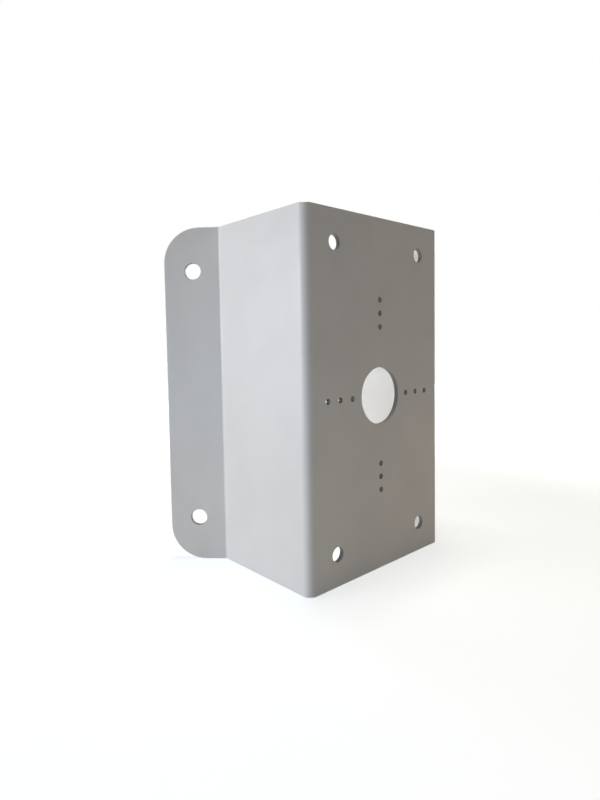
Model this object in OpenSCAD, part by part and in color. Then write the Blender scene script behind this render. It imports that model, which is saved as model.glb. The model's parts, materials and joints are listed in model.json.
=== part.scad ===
// Corner bracket for a camera arm, cut and folded from one steel sheet.
// The front plate carries the camera's arm. The side walls hold it away from
// the building, and the wings lie flat on the two faces of an outside corner.
// It stands on its lower edge at Z = 0, and the front plate faces -Y.

/* [Steel sheet] */
// Thickness of the sheet
sheet_t = 3; // [1.5:0.1:4]
// Radius on the inner side of every fold
fold_inner_r = 2; // [1:0.1:5]
// Height of the bracket, along its folds
height = 210; // [190:1:320]

/* [Front plate] */
// Width of the front plate, over the outer faces of the side walls
plate_w = 122; // [114:1:220]

/* [Side walls] */
// Depth from the front face to the line where a wing turns away
wall_depth = 77; // [30:1:200]

/* [Wings] */
// Angle that a wing turns outwards from its side wall
wing_angle = 45; // [20:1:80]
// Length of a wing, from its fold line to its free edge
wing_l = 35; // [27:0.5:80]
// Radius of the two free corners of a wing
wing_corner_r = 22; // [2:0.5:26]
// Diameter of the wall screw holes in a wing
wing_hole_d = 10; // [5:0.1:12]
// Distance of a wall screw hole from the wing's fold line
wing_hole_x = 17; // [13:0.5:20]
// Distance of a wall screw hole from the nearer end of the wing
wing_hole_inset = 27; // [20:0.5:80]

/* [Arm bolt holes] */
// Diameter of the four bolt holes near the corners of the front plate
arm_hole_d = 8.5; // [5:0.1:12]
// Distance between the bolt holes across the plate
arm_hole_dx = 77; // [60:0.5:90]
// Distance between the bolt holes up the plate
arm_hole_dz = 173; // [145:0.5:185]

/* [Cable hole] */
// Diameter of the cable hole in the middle of the front plate
cable_hole_d = 34; // [16:0.5:44]

/* [Small screw holes] */
// Core diameter of the tapped holes for smaller camera bases
screw_hole_d = 3.3; // [2:0.1:5]
// Number of tapped holes on each side of the cable hole
screw_hole_n = 3; // [1:1:3]
// Distance from the plate's middle to the first hole beside the cable hole
row_first = 25; // [22:0.5:30]
// Pitch of the holes beside the cable hole
row_pitch = 10; // [6:0.5:12]
// Distance from the plate's middle to the first hole above or below it
column_first = 41; // [27:0.5:45]
// Pitch of the holes above and below the cable hole
column_pitch = 8; // [6:0.5:12]

/* [Hidden] */

$fn = 96;
paint = "whitesmoke";
// How far a cutting shape runs past the sheet
overrun = 1;
// A slanted stretch sits this much inside its fold's round, so that their
// surfaces cross at a clean edge and don't only touch
hair = 0.001;
// How much further the round of such a fold turns, to reach that edge
fold_lap = 4;

// The outer side of a fold is one sheet thickness further from its axis
fold_outer_r = fold_inner_r + sheet_t;
// Length that the wing's fold takes from the wall and from the wing
wing_setback = fold_inner_r * tan(wing_angle / 2);
plate_flat = plate_w - 2 * fold_outer_r;
wall_flat = wall_depth - fold_outer_r - wing_setback;
wing_flat = wing_l - wing_setback;
// Depth over everything, from the front face to the back corner of a wing
depth = wall_depth + wing_l * cos(wing_angle) + sheet_t * sin(wing_angle);

// Slice of a disc, from the X axis round to an angle of up to 90 degrees
module pie(r, angle) {
    intersection() {
        circle(r);
        polygon([[0, 0], [2 * r, 0], 2 * r * [cos(angle), sin(angle)]]);
    }
}

// Everything from a fold's axis out to one face of the sheet, along the fold
// and the stretch that follows it
module inside_face(r, turn, length) {
    pie(r, turn + fold_lap);
    rotate(turn)
        square([r - hair, length]);
}

// Section of a fold around the origin and the slanted stretch that follows it
module slanted_section(turn, length) {
    difference() {
        inside_face(fold_outer_r, turn, length);
        inside_face(fold_inner_r, turn, length + overrun);
    }
}

// Moves to the axis of the wing's fold, with X pointing at the side wall
module at_wing_fold() {
    translate([plate_w / 2 + fold_inner_r, fold_outer_r + wall_flat])
        mirror([1, 0])
            children();
}

// Section of the sheet from the middle of the front plate to one free edge
module half_section() {
    square([plate_flat / 2, sheet_t]);
    translate([plate_flat / 2, fold_outer_r]) {
        mirror([0, 1])
            difference() {
                pie(fold_outer_r, 90);
                circle(fold_inner_r);
            }
        translate([fold_inner_r, 0])
            square([sheet_t, wall_flat]);
    }
    at_wing_fold()
        slanted_section(wing_angle, wing_flat);
}

// The folded sheet before anything is cut from it
module folded_sheet() {
    linear_extrude(height)
        for (side = [0, 1])
            mirror([side, 0])
                half_section();
}

// Tapped holes outwards from the plate's middle, towards +X
module screw_row(first, pitch) {
    for (i = [0 : screw_hole_n - 1])
        translate([first + i * pitch, 0])
            circle(d = screw_hole_d);
}

// Outline of all that is cut through the front plate, around its middle
module plate_cuts() {
    circle(d = cable_hole_d);
    for (sx = [-1, 1], sz = [-1, 1])
        translate([sx * arm_hole_dx / 2, sz * arm_hole_dz / 2])
            circle(d = arm_hole_d);
    for (turn = [0, 180])
        rotate(turn) {
            screw_row(row_first, row_pitch);
            rotate(90)
                screw_row(column_first, column_pitch);
        }
}

// Cutting shapes through the front plate
module through_plate() {
    translate([0, sheet_t + overrun, height / 2])
        rotate([90, 0, 0])
            linear_extrude(sheet_t + 2 * overrun)
                children();
}

// What goes from a square corner at the origin, to leave a round one
module corner_waste(r) {
    difference() {
        translate([-r, -r])
            square(r + overrun);
        translate([-r, -r])
            circle(r);
    }
}

// Outline of what is cut from the upper end of a wing, with its fold along
// X = 0 and its end along Y = 0
module wing_end_cuts() {
    translate([wing_flat, 0])
        corner_waste(wing_corner_r);
    translate([wing_hole_x - wing_setback, -wing_hole_inset])
        circle(d = wing_hole_d);
}

// Outline of all that is cut through a wing
module wing_cuts() {
    translate([0, height])
        wing_end_cuts();
    mirror([0, 1])
        wing_end_cuts();
}

// Cutting shapes through a wing
module through_wing() {
    at_wing_fold()
        rotate(wing_angle)
            rotate([90, 0, 90])
                linear_extrude(fold_outer_r + overrun)
                    children();
}

module bracket() {
    color(paint)
        translate([0, -depth / 2, 0])
            difference() {
                folded_sheet();
                through_plate()
                    plate_cuts();
                for (side = [0, 1])
                    mirror([side, 0, 0])
                        through_wing()
                            wing_cuts();
            }
}

bracket();
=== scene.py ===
import json
import math

import bmesh
import bpy
from mathutils import Matrix, Vector
from mathutils.geometry import delaunay_2d_cdt


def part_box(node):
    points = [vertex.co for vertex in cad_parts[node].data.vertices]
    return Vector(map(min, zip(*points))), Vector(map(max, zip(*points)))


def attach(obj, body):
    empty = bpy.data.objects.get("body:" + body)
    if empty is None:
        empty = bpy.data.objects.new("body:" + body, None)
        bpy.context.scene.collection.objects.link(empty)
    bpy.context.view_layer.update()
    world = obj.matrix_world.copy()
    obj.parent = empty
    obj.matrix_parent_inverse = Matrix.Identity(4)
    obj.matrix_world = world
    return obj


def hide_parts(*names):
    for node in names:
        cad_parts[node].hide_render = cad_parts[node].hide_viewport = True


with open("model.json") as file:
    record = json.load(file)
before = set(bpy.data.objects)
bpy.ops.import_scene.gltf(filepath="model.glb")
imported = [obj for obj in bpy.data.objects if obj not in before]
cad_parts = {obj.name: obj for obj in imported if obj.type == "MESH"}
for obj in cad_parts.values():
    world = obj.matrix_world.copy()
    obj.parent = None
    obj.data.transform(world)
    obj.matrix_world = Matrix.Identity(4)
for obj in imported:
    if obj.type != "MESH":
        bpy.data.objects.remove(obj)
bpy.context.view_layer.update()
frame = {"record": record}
mounts = {mount["name"]: mount for mount in frame["record"]["mounts"]}
print("frame loaded")

mm = 0.001
hair = 0.001 * mm      # lengths closer than this count as the same
keyStep = 0.0001 * mm  # grid on which points of the mesh are matched

# the folded steel sheet; its height, its place and its holes come from the frame
sheet = {
    "thickness": 3 * mm,
    "insideRadius": 2 * mm,
    "plateWidth": 122 * mm,       # over the outer faces of the side walls
    "wallDepth": 77 * mm,         # from the front face to the wing's fold line
    "wingAngle": math.radians(45),
    "wingLength": 35 * mm,        # from the fold line to the free edge
    "wingCorner": 22 * mm,
    "wingHoleAcross": 17 * mm,    # from the fold line to a wall screw hole
    "edgeRound": 0.45 * mm,       # cut edges, rounded by the coating
    "edgeSteps": 4,
    "edgeBand": 1.2 * mm,         # strip of mesh that lies beside each cut edge
    "faceStep": 6 * mm,           # mesh size on the flat stretches
    "gapShare": 0.4,              # of that size, kept free beside the strips
    "joinTurn": math.radians(2),  # two triangles that lie this flat, and whose
    "joinSkew": math.radians(50), # corners come this near to square, make a quad
    "foldSteps": 14,              # mesh round a square fold
    "cornerSteps": 16,            # mesh round a wing's corner
    "foldDraw": 0.25 * mm,        # the ends of a fold draw in on its stretched side
    "foldDrawReach": 5 * mm,
}
lowCorner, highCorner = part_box("bracket")
sheetHeight = highCorner.z
frontY = lowCorner.y
thickness = sheet["thickness"]
outsideRadius = sheet["insideRadius"] + thickness
middleRadius = sheet["insideRadius"] + thickness / 2
wingSetback = sheet["insideRadius"] * math.tan(sheet["wingAngle"] / 2)
bandInset = sheet["edgeRound"] + sheet["edgeBand"]

# distances along the sheet from the plate's middle to where each stretch ends
plateEnd = sheet["plateWidth"] / 2 - outsideRadius
wallStart = plateEnd + middleRadius * math.pi / 2
wallEnd = wallStart + sheet["wallDepth"] - outsideRadius - wingSetback
wingStart = wallEnd + middleRadius * sheet["wingAngle"]
wingEnd = wingStart + sheet["wingLength"] - wingSetback
cornerStart = wingEnd - sheet["wingCorner"]


def foldedSection(along):
    # point on the front face and the outward normal there, seen from above
    run = abs(along)
    foldAxis = Vector((plateEnd, frontY + outsideRadius))
    toWingAxis = Vector((outsideRadius + sheet["insideRadius"], wallEnd - wallStart))
    wingAxis = foldAxis + toWingAxis
    heading = min(max(run - plateEnd, 0) / middleRadius, math.pi / 2)
    heading -= min(max(run - wallEnd, 0) / middleRadius, sheet["wingAngle"])
    outward = Vector((math.sin(heading), -math.cos(heading)))
    ahead = Vector((math.cos(heading), math.sin(heading)))
    if run <= wallStart:
        point = foldAxis + outward * outsideRadius + ahead * min(run - plateEnd, 0)
    elif run <= wallEnd:
        point = foldAxis + outward * outsideRadius + ahead * (run - wallStart)
    else:
        point = wingAxis - outward * sheet["insideRadius"] + ahead * max(run - wingStart, 0)
    if along < 0:
        point.x, outward.x = -point.x, -outward.x
    return point, outward


def foldDraw(along, z, depth):
    # how far the end of a fold pulls in; the side that was stretched pulls most
    run = abs(along)
    fromEnd = min(z, sheetHeight - z)
    fade = max(0, 1 - fromEnd / sheet["foldDrawReach"]) ** 2
    if plateEnd < run < wallStart:
        share = math.sin(math.pi * (run - plateEnd) / (wallStart - plateEnd)) ** 2
        pull = share * (1 - depth / thickness)
    elif wallEnd < run < wingStart:
        share = math.sin(math.pi * (run - wallEnd) / (wingStart - wallEnd)) ** 2
        pull = share * depth / thickness * sheet["wingAngle"] / (math.pi / 2)
    else:
        pull = 0
    return math.copysign(sheet["foldDraw"] * pull * fade, sheetHeight / 2 - z)


def sheetPoint(along, z, depth):
    point, outward = foldedSection(along)
    point = point - outward * depth
    return Vector((point.x, point.y, z + foldDraw(along, z, depth)))


def spread(start, end, step):
    # evenly spaced values from start to end, no further apart than step
    count = max(1, math.ceil((end - start - hair) / step))
    return [start + (end - start) * i / count for i in range(count + 1)]


foldStep = middleRadius * math.pi / 2 / sheet["foldSteps"]
flatStations = {
    "plate": spread(-plateEnd, plateEnd, sheet["faceStep"]),
    "wall": spread(wallStart, wallEnd, sheet["faceStep"]),
    "wing": spread(wingStart, cornerStart, sheet["faceStep"]),
}
foldStations = {
    "plateFold": spread(plateEnd, wallStart, foldStep),
    "wingFold": spread(wallEnd, wingStart, foldStep),
}
zRows = spread(bandInset, sheetHeight - bandInset, sheet["faceStep"])


def arc(centre, radius, first, last, count):
    # points on an arc, each with the direction that leads off the sheet
    marks = []
    for i in range(count + 1):
        angle = math.radians(first + (last - first) * i / count)
        off = Vector((math.cos(angle), math.sin(angle)))
        marks.append((centre + off * radius, off))
    return marks


def blankOutline():
    # outline of the flat blank: points and the direction that leads off the sheet
    half = [s for s in flatStations["plate"] if s > hair]
    half += foldStations["plateFold"][1:] + flatStations["wall"][1:]
    half += foldStations["wingFold"][1:] + flatStations["wing"][1:]
    middle = [0.0] if len(flatStations["plate"]) % 2 else []
    stations = [-s for s in reversed(half)] + middle + half
    radius, corners = sheet["wingCorner"], sheet["cornerSteps"]
    up, down = Vector((0, 1)), Vector((0, -1))
    right = spread(radius, sheetHeight - radius, sheet["faceStep"])
    marks = [(Vector((s, 0)), down) for s in stations]
    marks += arc(Vector((cornerStart, radius)), radius, -90, 0, corners)[1:]
    marks += [(Vector((wingEnd, z)), Vector((1, 0))) for z in right[1:]]
    marks += arc(Vector((cornerStart, sheetHeight - radius)), radius, 0, 90, corners)[1:]
    marks += [(Vector((s, sheetHeight)), up) for s in reversed(stations[:-1])]
    marks += arc(Vector((-cornerStart, sheetHeight - radius)), radius, 90, 180, corners)[1:]
    marks += [(Vector((-wingEnd, z)), Vector((-1, 0))) for z in reversed(right[:-1])]
    marks += arc(Vector((-cornerStart, radius)), radius, 180, 270, corners)[1:-1]
    return marks


# the holes, with their centres measured on the flat blank
holeMesh = {
    "cable": 96,     # points round each kind of hole
    "bolt": 48,
    "wing": 48,
    "screw": 40,
}


def holesFromFrame():
    holes = []

    def addHole(kind, along, z, radius):
        holes.append({"kind": kind, "centre": Vector((along, z)), "radius": radius})

    cable = mounts["cable_hole"]
    addHole("cable", cable["pos_m"][0], cable["pos_m"][2], cable["dims"]["r_mm"] * mm)
    for name, mount in mounts.items():
        if mount["kind"] != "bolt_pattern":
            continue
        dims = mount["dims"]
        x, z = mount["pos_m"][0], mount["pos_m"][2]
        radius = dims["hole_r_mm"] * mm
        if name.endswith("wing_screws"):
            along = math.copysign(wingStart + sheet["wingHoleAcross"] - wingSetback, x)
            for rise in (-0.5, 0.5):
                addHole("wing", along, z + rise * dims["pcd_mm"] * mm, radius)
        else:
            dx = dims.get("spacing_x_mm", 0) * mm / 2
            dz = dims.get("spacing_y_mm", 0) * mm / 2
            kind = "bolt" if dims["count"] == 4 else "screw"
            for along, rise in sorted({(a, b) for a in (-dx, dx) for b in (-dz, dz)}):
                addHole(kind, x + along, z + rise, radius)
    return holes


# the thread in the small tapped holes, cut after the coating
thread = {
    "edgeRound": 0.2 * mm,
    "pitch": 0.7 * mm,
    "depth": 0.34 * mm,
    "flank": 1.4,            # how steeply the groove falls, as a share of its depth
    "crest": 0.2,            # share of that fall that stays uncut on the crest
    "stepsPerTurn": 8,
    "runOut": 0.25 * mm,     # over which it fades towards the faces
}


def ease(x):
    x = min(max(x, 0), 1)
    return x * x * (3 - 2 * x)


def threadGroove(depth, angle):
    # a right-hand groove that fades where it leaves the hole
    turn = (depth / thread["pitch"] + angle / (2 * math.pi)) % 1
    groove = min(max(thread["flank"] * (1 - abs(2 * turn - 1)) - thread["crest"], 0), 1)
    inside = min(depth, thickness - depth) - thread["edgeRound"]
    return thread["depth"] * groove * ease(inside / thread["runOut"])


def rimRows(threaded):
    # rows over a cut edge from face to face: inset, depth, how thin the coat lies on
    # the edge, and how far the row is inside the hole, which sets the painted shade on the hole
    # walls
    r, steps = (thread if threaded else sheet)["edgeRound"], sheet["edgeSteps"]
    rows = [(bandInset, 0, 0, 0)]
    for i in range(steps + 1):
        angle = math.pi / 2 * i / steps
        thin = math.sin(2 * angle) ** 0.5
        rows.append((r * (1 - math.sin(angle)), r * (1 - math.cos(angle)), thin, ease(i / steps)))
    back = [(inset, thickness - depth, thin, cut) for inset, depth, thin, cut in reversed(rows)]
    if threaded:
        step = thread["pitch"] / thread["stepsPerTurn"]
        rows += [(0, depth, 0, 1) for depth in spread(r, thickness - r, step)[1:-1]]
    return rows + back


def insideWing(point, gap):
    # whether a point of the wing keeps clear of its free edge and its round corners
    rise = min(point.y, sheetHeight - point.y)
    if abs(point.x) < cornerStart or rise > sheet["wingCorner"]:
        return abs(point.x) < wingEnd - bandInset - gap
    fromCentre = Vector((abs(point.x) - cornerStart, sheet["wingCorner"] - rise)).length
    return fromCentre < sheet["wingCorner"] - bandInset - gap


def clearOfHoles(point, holes, gap):
    # whether a point keeps clear of the strips round the holes
    return all((point - hole["centre"]).length > hole["radius"] + bandInset + gap for hole in holes)


def buildBracket():
    bm = bmesh.new()
    thinCoat = bm.verts.layers.float.new("thinCoat")
    # how far into a hole each point lies, which sets the painted shade on the hole walls
    holeShadeMask = bm.verts.layers.float.new("holeShadeMask")
    made = {}

    def vertexAt(flat, depth, thin=0, holeShade=0):
        key = tuple(round(value / keyStep) for value in (flat.x, flat.y, depth))
        if key not in made:
            made[key] = bm.verts.new(sheetPoint(flat.x, flat.y, depth))
            made[key][thinCoat] = thin
            made[key][holeShadeMask] = holeShade
        return made[key]

    def addRim(marks, kind):
        threaded = kind == "screw"
        rings = []
        for inset, depth, thin, holeShade in rimRows(threaded):
            ring = []
            if kind == "outline":
                holeShade = 0
            for point, off in marks:
                cut = inset
                if threaded and inset == 0:
                    cut = threadGroove(depth, math.atan2(-off.y, -off.x))
                ring.append(vertexAt(point - off * cut, depth, thin, holeShade))
            rings.append(ring)
        bareRows = range(sheet["edgeSteps"] + 1, len(rings) - sheet["edgeSteps"] - 2)
        for row, (ring, nextRing) in enumerate(zip(rings, rings[1:])):
            for i in range(len(ring)):
                j = (i + 1) % len(ring)
                face = bm.faces.new((ring[i], ring[j], nextRing[j], nextRing[i]))
                face.material_index = 1 if threaded and row in bareRows else 0
        return [point - off * bandInset for point, off in marks]

    edge = addRim(blankOutline(), "outline")
    rings = []
    for hole in holesFromFrame():
        around = arc(hole["centre"], hole["radius"], 0, 360, holeMesh[hole["kind"]])[:-1]
        ring = addRim([(point, -off) for point, off in around], hole["kind"])
        rings.append((hole, ring))

    def addFold(stations):
        for s0, s1 in zip(stations, stations[1:]):
            for z0, z1 in zip(zRows, zRows[1:]):
                for depth in (0, thickness):
                    corners = ((s0, z0), (s1, z0), (s1, z1), (s0, z1))
                    bm.faces.new([vertexAt(Vector(c), depth) for c in corners])

    def addFlat(start, end, stations):
        # fills a flat stretch between the strips round its cut edges and the ends of the
        # folds with triangles, and joins them into quads
        gap = sheet["faceStep"] * sheet["gapShare"]
        points, links = [], []

        def addChain(chain, closed=False):
            first = len(points)
            points.extend(chain)
            links.extend((first + i, first + i + 1) for i in range(len(chain) - 1))
            if closed:
                links.append((first + len(chain) - 1, first))

        inThis = [start - hair < p.x < end + hair for p in edge]
        for i, point in enumerate(edge):
            following = (i + 1) % len(edge)
            if inThis[i] and inThis[following]:
                addChain([point, edge[following]])
        for s in (start, end):
            if abs(s) < wingEnd - hair:
                addChain([Vector((s, z)) for z in zRows])
        holesHere = []
        for hole, ring in rings:
            if start < hole["centre"].x < end:
                holesHere.append(hole)
                addChain(ring, closed=True)
        for s in stations:
            for z in zRows[1:-1]:
                point = Vector((s, z))
                onStretch = start + gap < s < end - gap and insideWing(point, gap)
                if onStretch and clearOfHoles(point, holesHere, gap):
                    points.append(point)
        placed, _, faces, _, _, _ = delaunay_2d_cdt(points, links, [], 1, keyStep)
        for depth in (0, thickness):
            flat = []
            for face in faces:
                middle = sum((placed[i] for i in face), Vector((0, 0))) / 3
                if clearOfHoles(middle, holesHere, 0):
                    flat.append(bm.faces.new([vertexAt(placed[i], depth) for i in face]))
            bmesh.ops.join_triangles(
                bm, faces=flat,
                angle_face_threshold=sheet["joinTurn"], angle_shape_threshold=sheet["joinSkew"])

    for side in (1, -1):
        for stations in foldStations.values():
            addFold([side * s for s in stations])
    cornerStations = spread(cornerStart, wingEnd, sheet["faceStep"])
    wingStations = flatStations["wing"] + cornerStations[1:-1]
    addFlat(-plateEnd, plateEnd, flatStations["plate"])
    addFlat(wallStart, wallEnd, flatStations["wall"])
    addFlat(wingStart, wingEnd, wingStations)
    addFlat(-wallEnd, -wallStart, [-s for s in flatStations["wall"]])
    addFlat(-wingEnd, -wingStart, [-s for s in wingStations])

    bmesh.ops.recalc_face_normals(bm, faces=bm.faces)
    for face in bm.faces:
        face.smooth = True
    openEdges = sum(1 for e in bm.edges if not e.is_manifold)
    print("sheet:", len(bm.verts), "points,", len(bm.faces), "faces,", openEdges, "open edges")
    mesh = bpy.data.meshes.new("folded_sheet")
    bm.to_mesh(mesh)
    bm.free()
    bracket = bpy.data.objects.new("folded_sheet", mesh)
    bpy.context.collection.objects.link(bracket)
    bracket.modifiers.new("evenShading", "WEIGHTED_NORMAL")
    return bracket


def addNode(tree, kind, **settings):
    # a node with its properties set, and its inputs set by name
    node = tree.nodes.new("ShaderNode" + kind)
    for name, value in settings.items():
        if hasattr(node, name):
            setattr(node, name, value)
        else:
            node.inputs[name.replace("_", " ")].default_value = value
    return node


# the sockets that a Mix node uses for colours
mixFirst, mixSecond, mixResult = 6, 7, 2


def mixColours(tree, share, first, second):
    # from the first colour to the second; the first may come from another node
    node = addNode(tree, "Mix", data_type="RGBA")
    tree.links.new(share, node.inputs["Factor"])
    if isinstance(first, tuple):
        node.inputs[mixFirst].default_value = first
    else:
        tree.links.new(first, node.inputs[mixFirst])
    node.inputs[mixSecond].default_value = second
    return node.outputs[mixResult]


def addScaled(tree, first, second):
    # the product of a value from a node and a number or another value
    node = addNode(tree, "Math", operation="MULTIPLY")
    tree.links.new(first, node.inputs[0])
    if isinstance(second, float):
        node.inputs[1].default_value = second
    else:
        tree.links.new(second, node.inputs[1])
    return node.outputs["Value"]


def newMaterial(name):
    material = bpy.data.materials.new(name)
    material.use_nodes = True
    tree = material.node_tree
    tree.nodes.clear()
    output = addNode(tree, "OutputMaterial")
    return material, tree, output


# satin powder coat
powderCoat = {
    "colour": (0.83, 0.83, 0.82, 1),
    "colourLow": (0.80, 0.80, 0.79, 1),
    "cloud": (30 * mm, 0.35, 0.60),         # size, and the noise from the low colour to the full one
    "thinColour": (0.62, 0.62, 0.61, 1),    # along the cut edges
    "thinShare": 0.45,
    "thinPatch": (4 * mm, 0.42, 0.62),      # size, and the noise from none to all
    "holeShadeColour": (0.16, 0.155, 0.15, 1),   # painted shade on the walls of the holes
    "holeShadeStrength": 0.92,
    "roughness": (0.36, 0.46),
    "sheen": (9 * mm, 0.30, 0.70),          # size, and the noise from smooth to rough
    "sway": (45 * mm, 0.12 * mm),           # size, and how far it stands out
    "orangePeel": (1.3 * mm, 0.036 * mm),
    "grain": (0.28 * mm, 0.005 * mm),
}


def makePowderCoat():
    coat = powderCoat
    material, tree, output = newMaterial("powderCoat")
    link = tree.links.new
    place = addNode(tree, "TexCoord")

    def noise(size, detail=2.0):
        texture = addNode(tree, "TexNoise", Scale=1 / size, Detail=detail)
        link(place.outputs["Object"], texture.inputs["Vector"])
        return texture

    normal = None
    for name in ("sway", "orangePeel", "grain"):
        size, height = coat[name]
        bump = addNode(tree, "Bump", Strength=1.0, Distance=height)
        link(noise(size).outputs["Fac"], bump.inputs["Height"])
        if normal:
            link(normal, bump.inputs["Normal"])
        normal = bump.outputs["Normal"]

    size, low, high = coat["cloud"]
    colour = addNode(tree, "ValToRGB")
    lower, upper = colour.color_ramp.elements
    lower.position, lower.color = low, coat["colourLow"]
    upper.position, upper.color = high, coat["colour"]
    link(noise(size, 3.0).outputs["Fac"], colour.inputs["Fac"])

    size, low, high = coat["thinPatch"]
    thin = addNode(tree, "Attribute", attribute_name="thinCoat")
    patchy = addNode(tree, "MapRange", From_Min=low, From_Max=high)
    link(noise(size, 4.0).outputs["Fac"], patchy.inputs["Value"])
    edge = addScaled(tree, thin.outputs["Fac"], patchy.outputs["Result"])
    edgeShare = addScaled(tree, edge, coat["thinShare"])
    edged = mixColours(tree, edgeShare, colour.outputs["Color"], coat["thinColour"])

    # painted shade: the walls of the holes are mixed towards a near-black grey
    wall = addNode(tree, "Attribute", attribute_name="holeShadeMask")
    holeShadeFactor = addScaled(tree, wall.outputs["Fac"], coat["holeShadeStrength"])
    holeShade = mixColours(tree, holeShadeFactor, edged, coat["holeShadeColour"])

    size, low, high = coat["sheen"]
    smooth, rough = coat["roughness"]
    sheen = addNode(tree, "MapRange", From_Min=low, From_Max=high, To_Min=smooth, To_Max=rough)
    link(noise(size, 4.0).outputs["Fac"], sheen.inputs["Value"])

    shader = addNode(tree, "BsdfPrincipled")
    link(holeShade, shader.inputs["Base Color"])
    link(sheen.outputs["Result"], shader.inputs["Roughness"])
    link(normal, shader.inputs["Normal"])
    link(shader.outputs["BSDF"], output.inputs["Surface"])
    return material


# bare steel where the small holes were tapped, its dark colour painted shade inside the holes
bareThreadPaintedShade = {
    "colour": (0.15, 0.145, 0.14, 1),
    "roughness": (0.38, 0.6),
    "smear": (0.4 * mm, 0.004 * mm),    # size, and how far it stands out
}


def makeBareThreadPaintedShade():
    material, tree, output = newMaterial("bareThreadPaintedShade")
    link = tree.links.new
    place = addNode(tree, "TexCoord")
    size, height = bareThreadPaintedShade["smear"]
    smear = addNode(tree, "TexNoise", Scale=1 / size, Detail=3.0)
    link(place.outputs["Object"], smear.inputs["Vector"])
    smooth, coarse = bareThreadPaintedShade["roughness"]
    rough = addNode(tree, "MapRange", To_Min=smooth, To_Max=coarse)
    link(smear.outputs["Fac"], rough.inputs["Value"])
    bump = addNode(tree, "Bump", Strength=1.0, Distance=height)
    link(smear.outputs["Fac"], bump.inputs["Height"])
    # the dark base colour is painted shade for the tapped holes
    shader = addNode(tree, "BsdfPrincipled", Metallic=1.0, Base_Color=bareThreadPaintedShade["colour"])
    link(rough.outputs["Result"], shader.inputs["Roughness"])
    link(bump.outputs["Normal"], shader.inputs["Normal"])
    link(shader.outputs["BSDF"], output.inputs["Surface"])
    return material


bracket = buildBracket()
bracket.data.materials.append(makePowderCoat())
bracket.data.materials.append(makeBareThreadPaintedShade())
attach(bracket, "root")
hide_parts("bracket")
print("bracket made")

# round pale floor; what the camera sees of it is lifted to white, and the shadow stays
floorPlan = {
    "radius": 1.6,
    "segments": 128,
    "seenColour": (0.72, 0.84, 1.0, 1),
    "bounceColour": (0.80, 0.75, 0.70, 1),   # a warm table round the bracket
    "lift": (0.56, 1.0),                     # near the bracket, and far out
    "liftReach": (0.22, 0.50),               # distances between which it rises
}


def seenDirectly(tree):
    # 1 for what the camera sees, straight or in a glossy or clear surface
    rays = addNode(tree, "LightPath")
    seen = rays.outputs["Is Camera Ray"]
    for ray in ("Is Glossy Ray", "Is Transmission Ray"):
        either = addNode(tree, "Math", operation="MAXIMUM")
        tree.links.new(seen, either.inputs[0])
        tree.links.new(rays.outputs[ray], either.inputs[1])
        seen = either.outputs["Value"]
    return seen


def makePaleFloor():
    plan = floorPlan
    material, tree, output = newMaterial("paleFloor")
    link = tree.links.new
    seen = seenDirectly(tree)
    tone = mixColours(tree, seen, plan["bounceColour"], plan["seenColour"])
    matte = addNode(tree, "BsdfDiffuse")
    link(tone, matte.inputs["Color"])

    place = addNode(tree, "TexCoord")
    reach = addNode(tree, "VectorMath", operation="LENGTH")
    link(place.outputs["Object"], reach.inputs[0])
    near, far = plan["liftReach"]
    low, high = plan["lift"]
    rise = addNode(tree, "MapRange", interpolation_type="SMOOTHSTEP",
        From_Min=near, From_Max=far, To_Min=low, To_Max=high)
    link(reach.outputs["Value"], rise.inputs["Value"])
    glow = addNode(tree, "Emission")
    link(addScaled(tree, rise.outputs["Result"], seen), glow.inputs["Strength"])

    lifted = addNode(tree, "AddShader")
    link(matte.outputs["BSDF"], lifted.inputs[0])
    link(glow.outputs["Emission"], lifted.inputs[1])
    link(lifted.outputs["Shader"], output.inputs["Surface"])
    return material


def makeFloor():
    bm = bmesh.new()
    radius, segments = floorPlan["radius"], floorPlan["segments"]
    bmesh.ops.create_circle(bm, cap_ends=True, radius=radius, segments=segments)
    mesh = bpy.data.meshes.new("floor")
    bm.to_mesh(mesh)
    bm.free()
    mesh.materials.append(makePaleFloor())
    floor = bpy.data.objects.new("floor", mesh)
    bpy.context.collection.objects.link(floor)


# the room: white where it is seen, and a dim even light
room = {
    "light": 0.01,
    "seen": 1.0,
}


def makeRoom():
    world = bpy.data.worlds.new("room")
    bpy.context.scene.world = world
    world.use_nodes = True
    tree = world.node_tree
    tree.nodes.clear()
    output = addNode(tree, "OutputWorld")
    background = addNode(tree, "Background", Color=(1, 1, 1, 1))
    level = addNode(tree, "MapRange", To_Min=room["light"], To_Max=room["seen"])
    tree.links.new(seenDirectly(tree), level.inputs["Value"])
    tree.links.new(level.outputs["Result"], background.inputs["Strength"])
    tree.links.new(background.outputs["Background"], output.inputs["Surface"])


# soft lights, placed by bearing and rise round the bracket's middle; a bearing of 0 is in
# front of the plate and -90 on the side of the left wall
lights = {
    "windowSide": {"bearing": -117, "rise": 5, "distance": 1.6, "size": (0.9, 0.4),
        "watts": 13.2, "tint": (0.92, 0.94, 1.00)},
    "lowFront": {"bearing": -60, "rise": -5, "distance": 0.5, "size": (0.4, 0.08),
        "watts": 0.30, "tint": (0.36, 0.66, 1.00)},
    "above": {"bearing": 0, "rise": 89, "distance": 1.4, "size": (0.5, 0.5),
        "watts": 10.4, "tint": (1.00, 0.81, 0.56)},
    "insideBack": {"bearing": -169, "rise": -1, "distance": 1.3, "size": (0.24, 0.14),
        "watts": 6.5, "tint": (0.84, 0.93, 1.00)},
    "rightSide": {"bearing": 118, "rise": 8, "distance": 1.4, "size": (0.6, 0.5),
        "watts": 3, "tint": (0.92, 0.96, 1.00)},
}


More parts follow.
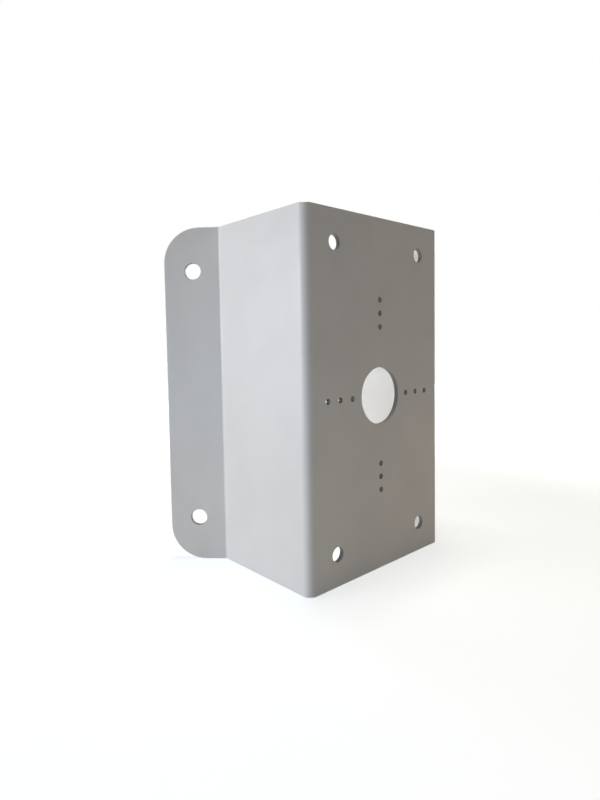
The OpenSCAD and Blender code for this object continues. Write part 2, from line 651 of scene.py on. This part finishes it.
def makeLights():
    middle = (lowCorner + highCorner) / 2
    for name, plan in lights.items():
        lamp = bpy.data.lights.new(name, "AREA")
        lamp.shape = "RECTANGLE"
        lamp.size, lamp.size_y = plan["size"]
        lamp.energy = plan["watts"]
        lamp.color = plan["tint"]
        holder = bpy.data.objects.new(name, lamp)
        bpy.context.collection.objects.link(holder)
        bearing, rise = math.radians(plan["bearing"]), math.radians(plan["rise"])
        away = Vector((math.sin(bearing), -math.cos(bearing), 0)) * math.cos(rise)
        away.z = math.sin(rise)
        holder.location = middle + away * plan["distance"]
        holder.rotation_euler = away.to_track_quat("Z", "Y").to_euler()
        holder.visible_camera = False


# the photograph's view, in metres, degrees and pixels of its frame
view = {
    "place": Vector((-0.2505, -0.252015, 0.13688)),
    "bearing": -41.69,
    "tilt": 3.33,                # downwards
    "roll": -0.99,
    "focalPixels": 530.0,
    "centre": (290.1, 374.6),    # where the lens points, in the frame
    "frame": (600, 800),
    "sensor": 36,                # in millimetres, along the longer side of the frame
    "nearest": 0.01,
}


def makeCamera():
    bearing, tilt, roll = (math.radians(view[k]) for k in ("bearing", "tilt", "roll"))
    ahead = Vector((-math.sin(bearing), math.cos(bearing), 0)) * math.cos(tilt)
    ahead.z = -math.sin(tilt)
    level = ahead.cross(Vector((0, 0, 1))).normalized()
    upright = level.cross(ahead)
    across = level * math.cos(roll) + upright * math.sin(roll)
    up = upright * math.cos(roll) - level * math.sin(roll)
    data = bpy.data.cameras.new("camera")
    wide, high = view["frame"]
    data.sensor_width = view["sensor"]
    data.lens = view["focalPixels"] * view["sensor"] / high
    data.shift_x = (wide / 2 - view["centre"][0]) / high
    data.shift_y = (view["centre"][1] - high / 2) / high
    data.clip_start = view["nearest"]
    camera = bpy.data.objects.new("camera", data)
    bpy.context.collection.objects.link(camera)
    turn = Matrix((across, up, -ahead)).transposed().to_4x4()
    camera.matrix_world = Matrix.Translation(view["place"]) @ turn
    bpy.context.scene.camera = camera


makeCamera()
makeFloor()
makeRoom()
makeLights()
bpy.context.scene.view_settings.view_transform = "Standard"
print("camera, floor and lights set")
